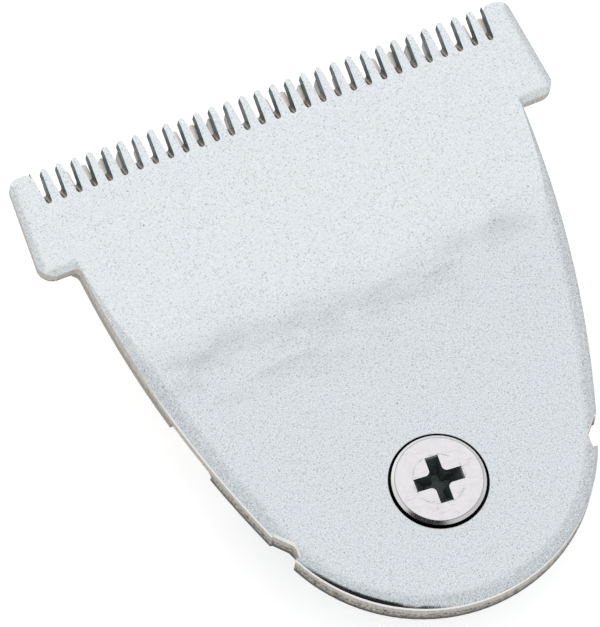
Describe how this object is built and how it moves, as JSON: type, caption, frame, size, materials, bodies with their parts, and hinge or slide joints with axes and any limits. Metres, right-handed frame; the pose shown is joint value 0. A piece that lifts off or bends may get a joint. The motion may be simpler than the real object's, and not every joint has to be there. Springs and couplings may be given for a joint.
{
  "type": "hair clipper blade",
  "caption": "T-shaped trimmer blade: ground comb plate with a toothed cutter that slides behind it, on a clip-in moulded carrier with a wire spring and one cross-recess screw.",
  "frame": {"origin": "on the surface that the blade lies on, below the middle of the comb plate", "axes": "+X along the row of teeth, +Y from the tail to the tooth tips, +Z out of the ground face"},
  "size_m": [0.0328, 0.0344, 0.0076],
  "materials": {
    "comb_steel": "satin chromed, finely pitted",
    "cutter_steel": "ground",
    "follower_plastic": "moulded",
    "carrier_plastic": "moulded, fine spark texture",
    "spring_wire": "drawn wire",
    "insert_brass": "turned",
    "screw_chrome": "nickel plated"
  },
  "bodies": {
    "blade_base": {"comb_plate": "comb_steel", "blade_carrier": "carrier_plastic", "pressure_spring": "spring_wire", "threaded_insert": "insert_brass", "clamp_screw": "screw_chrome"},
    "cutter": {"cutter_blade": "cutter_steel", "drive_follower": "follower_plastic"}
  },
  "joints": [
    {"name": "cutter_slide", "type": "slide", "parent": "blade_base", "child": "cutter", "axis": [1, 0, 0], "range_m": [-0.00072, 0.00128]}
  ]
}
